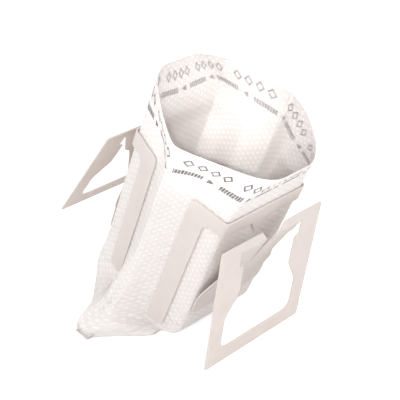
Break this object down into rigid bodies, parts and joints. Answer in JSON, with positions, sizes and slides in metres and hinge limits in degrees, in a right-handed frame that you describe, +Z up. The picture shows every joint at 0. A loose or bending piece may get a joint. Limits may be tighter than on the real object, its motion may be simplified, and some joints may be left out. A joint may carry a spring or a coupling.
{
  "type": "drip coffee bag",
  "caption": "Single-serve drip coffee filter pouch, opened and empty, with card frames that hold its mouth open and card ears pulled out to hang it in a cup",
  "frame": {"origin": "Middle of the bag's footprint, on the floor that it stands on", "axes": "X runs along the bag's width, the front face looks towards -Y, Z is up"},
  "size_m": [0.0728, 0.0804, 0.0824],
  "materials": {
    "nonwoven": "thin white embossed nonwoven, matt",
    "card": "uncoated off-white card, die cut"
  },
  "bodies": {
    "root": {"filter_pouch": "nonwoven", "front_card_frame": "card", "rear_card_frame": "card", "front_ear_hanger": "card", "rear_ear_hanger": "card"}
  },
  "joints": []
}
